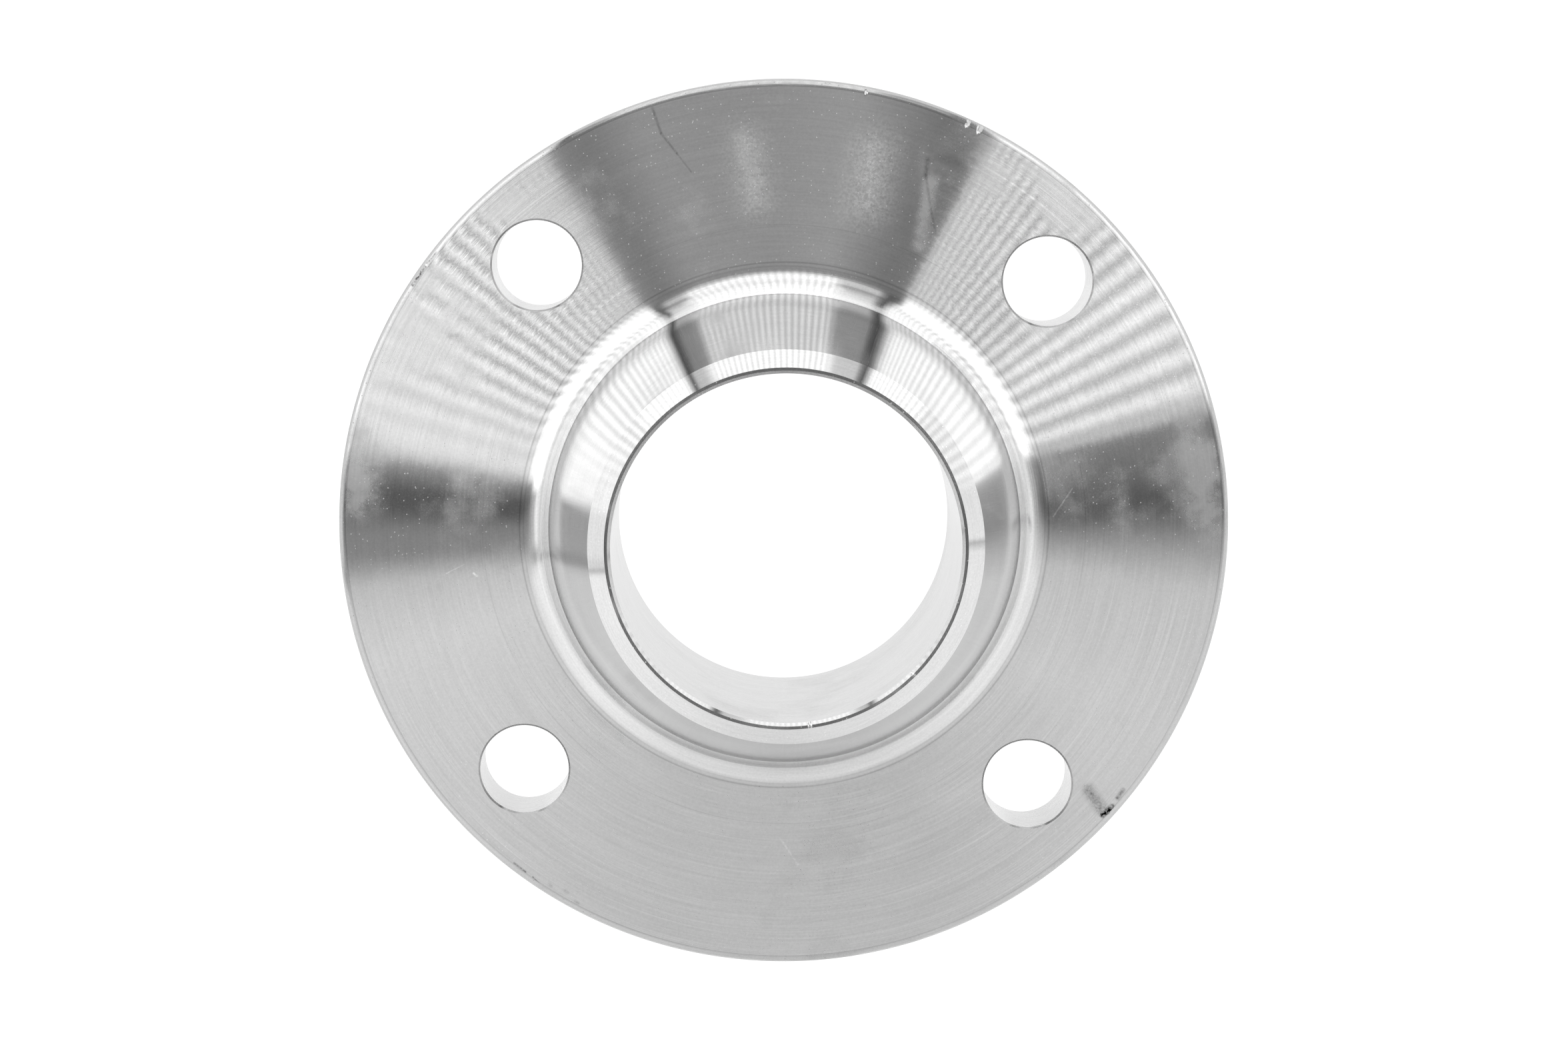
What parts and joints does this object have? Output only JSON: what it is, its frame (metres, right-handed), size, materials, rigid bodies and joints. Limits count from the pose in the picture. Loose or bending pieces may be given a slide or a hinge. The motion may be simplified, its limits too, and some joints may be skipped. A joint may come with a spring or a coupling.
{
  "type": "weld neck flange",
  "caption": "Round stainless weld neck flange: a drilled disc with a raised gasket face and a tapered hub bevelled for welding to a pipe.",
  "frame": {"origin": "centre of the raised gasket face, on the bore's axis", "axes": "+Z along the bore from the gasket face to the weld end; the bolt holes straddle +X and +Y"},
  "size_m": [0.18, 0.18, 0.056],
  "materials": {
    "turned_steel": "lathe-turned stainless steel, bare, fine concentric tool marks"
  },
  "bodies": {
    "root": {"flange": "turned_steel"}
  },
  "joints": []
}
